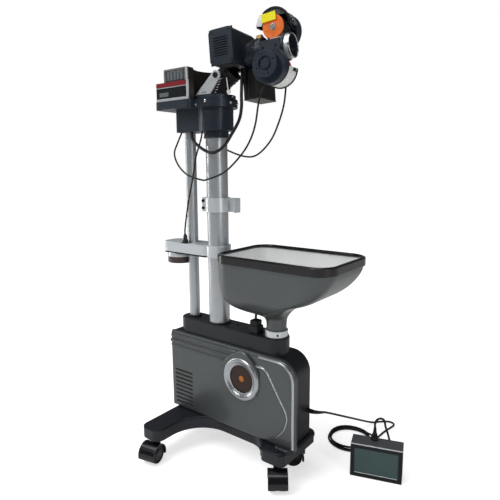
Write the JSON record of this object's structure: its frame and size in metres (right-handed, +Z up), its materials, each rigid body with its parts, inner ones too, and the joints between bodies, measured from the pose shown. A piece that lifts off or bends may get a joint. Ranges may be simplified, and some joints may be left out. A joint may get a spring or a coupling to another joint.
{
  "type": "table tennis ball robot",
  "caption": "Ball-throwing robot on castors: hopper over a cabinet, ball mast with support tube, and a turning, tilting, rolling two-wheel throwing head with a wired controller.",
  "frame": {"origin": "middle of the footprint, at the floor, of everything but the cords and cables", "axes": "+Z up, +X the side that the barrel points to, -Y the side with the painted cover"},
  "size_m": [0.5959, 0.5491, 1.0214],
  "materials": {
    "black_plastic": "satin",
    "tyre_black": "satin",
    "cabinet_black": "satin black",
    "cover_gunmetal": "satin gunmetal",
    "ring_silver": "satin",
    "channel_white": "smooth",
    "feed_wheel_white": "smooth",
    "motor_grey": "satin",
    "supply_grey": "satin",
    "switch_red": "glossy",
    "tube_silver": "satin anodised",
    "screw_black": "black oxide",
    "bracket_silver": "satin",
    "can_silver": "satin",
    "hopper_gunmetal": "smooth gunmetal outside, white inside",
    "rim_black": "satin",
    "collar_silver": "satin",
    "head_black": "satin black",
    "case_dark": "satin",
    "brass_gear": "machined",
    "arm_silver": "satin",
    "hose_black": "satin",
    "drum_black": "satin",
    "barrel_silver": "satin anodised",
    "guard_clear": "clear",
    "guard_white": "glossy",
    "wheel_orange": "satin",
    "cable_black": "satin",
    "controller_grey": "satin",
    "screen_green": "glossy"
  },
  "bodies": {
    "base": {"base_chassis": "cabinet_black", "cabinet_body": "cabinet_black", "front_cover": "cover_gunmetal", "cover_ring": "ring_silver", "top_housing": "cabinet_black", "feed_tube": "channel_white", "feed_motor": "motor_grey", "power_supply": "supply_grey", "mast_tube": "tube_silver", "support_tube": "tube_silver", "mast_clamp": "bracket_silver", "clamp_screws": "screw_black", "pole_bracket": "bracket_silver", "bracket_can": "can_silver", "hopper_shell": "hopper_gunmetal", "hopper_rim": "rim_black", "hopper_collar": "collar_silver", "hopper_plug": "black_plastic", "hopper_cable": "cable_black", "gearbox_housing": "head_black", "head_tray": "head_black", "driver_case": "case_dark", "pan_motor": "motor_grey", "head_cable": "cable_black", "lower_motor_cable": "cable_black", "upper_motor_cable": "cable_black", "bracket_cable": "cable_black", "controller_case": "controller_grey", "controller_screen": "screen_green", "controller_connector": "black_plastic", "cord_gland": "black_plastic", "controller_cord": "cable_black", "controller_cord_coil": "cable_black"},
    "feed_wheel": {"feed_wheel": "feed_wheel_white"},
    "power_switch": {"power_switch": "switch_red"},
    "caster_1": {"caster_hood_1": "black_plastic"},
    "caster_2": {"caster_hood_2": "black_plastic"},
    "caster_3": {"caster_hood_3": "black_plastic"},
    "caster_4": {"caster_hood_4": "black_plastic"},
    "caster_wheels_1": {"caster_wheels_1": "tyre_black"},
    "caster_wheels_2": {"caster_wheels_2": "tyre_black"},
    "caster_wheels_3": {"caster_wheels_3": "tyre_black"},
    "caster_wheels_4": {"caster_wheels_4": "tyre_black"},
    "pan_pinion": {"pan_pinion": "brass_gear"},
    "turntable": {"turntable": "head_black", "tilt_arms": "arm_silver", "ball_hose": "hose_black"},
    "head": {"head_housing": "head_black", "end_cover": "head_black", "drive_box": "head_black", "roll_motor": "motor_grey"},
    "roll_pinion": {"roll_pinion": "brass_gear"},
    "launcher": {"launch_frame": "head_black", "barrel": "barrel_silver", "upper_motor": "drum_black", "lower_motor": "drum_black", "upper_guard": "guard_clear", "lower_guard": "guard_white"},
    "upper_wheel": {"upper_wheel": "wheel_orange"},
    "lower_wheel": {"lower_wheel": "wheel_orange"}
  },
  "joints": [
    {"name": "caster_swivel_1", "type": "hinge", "parent": "base", "child": "caster_1", "pos_m": [-0.218, -0.142, 0.06], "axis": [0, 0, 1], "continuous": true},
    {"name": "caster_roll_1", "type": "hinge", "parent": "caster_1", "child": "caster_wheels_1", "pos_m": [-0.21384, -0.16156, 0.021], "axis": [0.9781, 0.2079, 0], "continuous": true},
    {"name": "caster_swivel_2", "type": "hinge", "parent": "base", "child": "caster_2", "pos_m": [-0.218, 0.142, 0.06], "axis": [0, 0, 1], "continuous": true},
    {"name": "caster_roll_2", "type": "hinge", "parent": "caster_2", "child": "caster_wheels_2", "pos_m": [-0.21384, 0.16156, 0.021], "axis": [-0.9781, 0.2079, 0], "continuous": true},
    {"name": "caster_swivel_3", "type": "hinge", "parent": "base", "child": "caster_3", "pos_m": [0.075, -0.051, 0.06], "axis": [0, 0, 1], "continuous": true},
    {"name": "caster_roll_3", "type": "hinge", "parent": "caster_3", "child": "caster_wheels_3", "pos_m": [0.08704, -0.06697, 0.021], "axis": [0.7986, 0.6018, 0], "continuous": true},
    {"name": "caster_swivel_4", "type": "hinge", "parent": "base", "child": "caster_4", "pos_m": [0.075, 0.051, 0.06], "axis": [0, 0, 1], "continuous": true},
    {"name": "caster_roll_4", "type": "hinge", "parent": "caster_4", "child": "caster_wheels_4", "pos_m": [0.05842, 0.03982, 0.021], "axis": [0.5592, -0.829, 0], "continuous": true},
    {"name": "feed_wheel_turn", "type": "hinge", "parent": "base", "child": "feed_wheel", "pos_m": [-0.0303, 0, 0.217], "axis": [0, 1, 0], "continuous": true},
    {"name": "power_switch_rock", "type": "hinge", "parent": "base", "child": "power_switch", "pos_m": [-0.194, 0.038, 0.107], "axis": [1, 0, 0], "range_deg": [-8, 8]},
    {"name": "head_pan", "type": "hinge", "parent": "base", "child": "turntable", "pos_m": [-0.132, 0, 0.85], "axis": [0, 0, 1], "range_deg": [-53, 37], "deforming": ["head_cable", "lower_motor_cable", "upper_motor_cable"]},
    {"name": "pan_pinion_turn", "type": "hinge", "parent": "base", "child": "pan_pinion", "pos_m": [-0.1772, 0, 0.84], "axis": [0, 0, 1], "range_deg": [-148, 212]},
    {"name": "head_tilt", "type": "hinge", "parent": "turntable", "child": "head", "pos_m": [-0.11021, 0.00306, 0.897], "axis": [0.1392, -0.9903, 0], "range_deg": [-14, 31], "deforming": ["ball_hose"]},
    {"name": "head_roll", "type": "hinge", "parent": "head", "child": "launcher", "pos_m": [-0.0208, 0.01563, 0.9389], "axis": [0.9879, 0.1388, 0.0698], "range_deg": [-90, 90]},
    {"name": "roll_pinion_turn", "type": "hinge", "parent": "head", "child": "roll_pinion", "pos_m": [-0.03042, 0.03255, 0.96983], "axis": [0.9879, 0.1388, 0.0698], "range_deg": [-270, 270]},
    {"name": "upper_wheel_spin", "type": "hinge", "parent": "launcher", "child": "upper_wheel", "pos_m": [0.02037, 0.02141, 0.98241], "axis": [-0.1392, 0.9903, 0], "continuous": true},
    {"name": "lower_wheel_spin", "type": "hinge", "parent": "launcher", "child": "lower_wheel", "pos_m": [0.02596, 0.0222, 0.9016], "axis": [-0.1392, 0.9903, 0], "continuous": true}
  ],
  "couplings": [
    {"joint": "pan_pinion_turn", "follows": "head_pan", "ratio": -4},
    {"joint": "roll_pinion_turn", "follows": "head_roll", "ratio": -3}
  ]
}
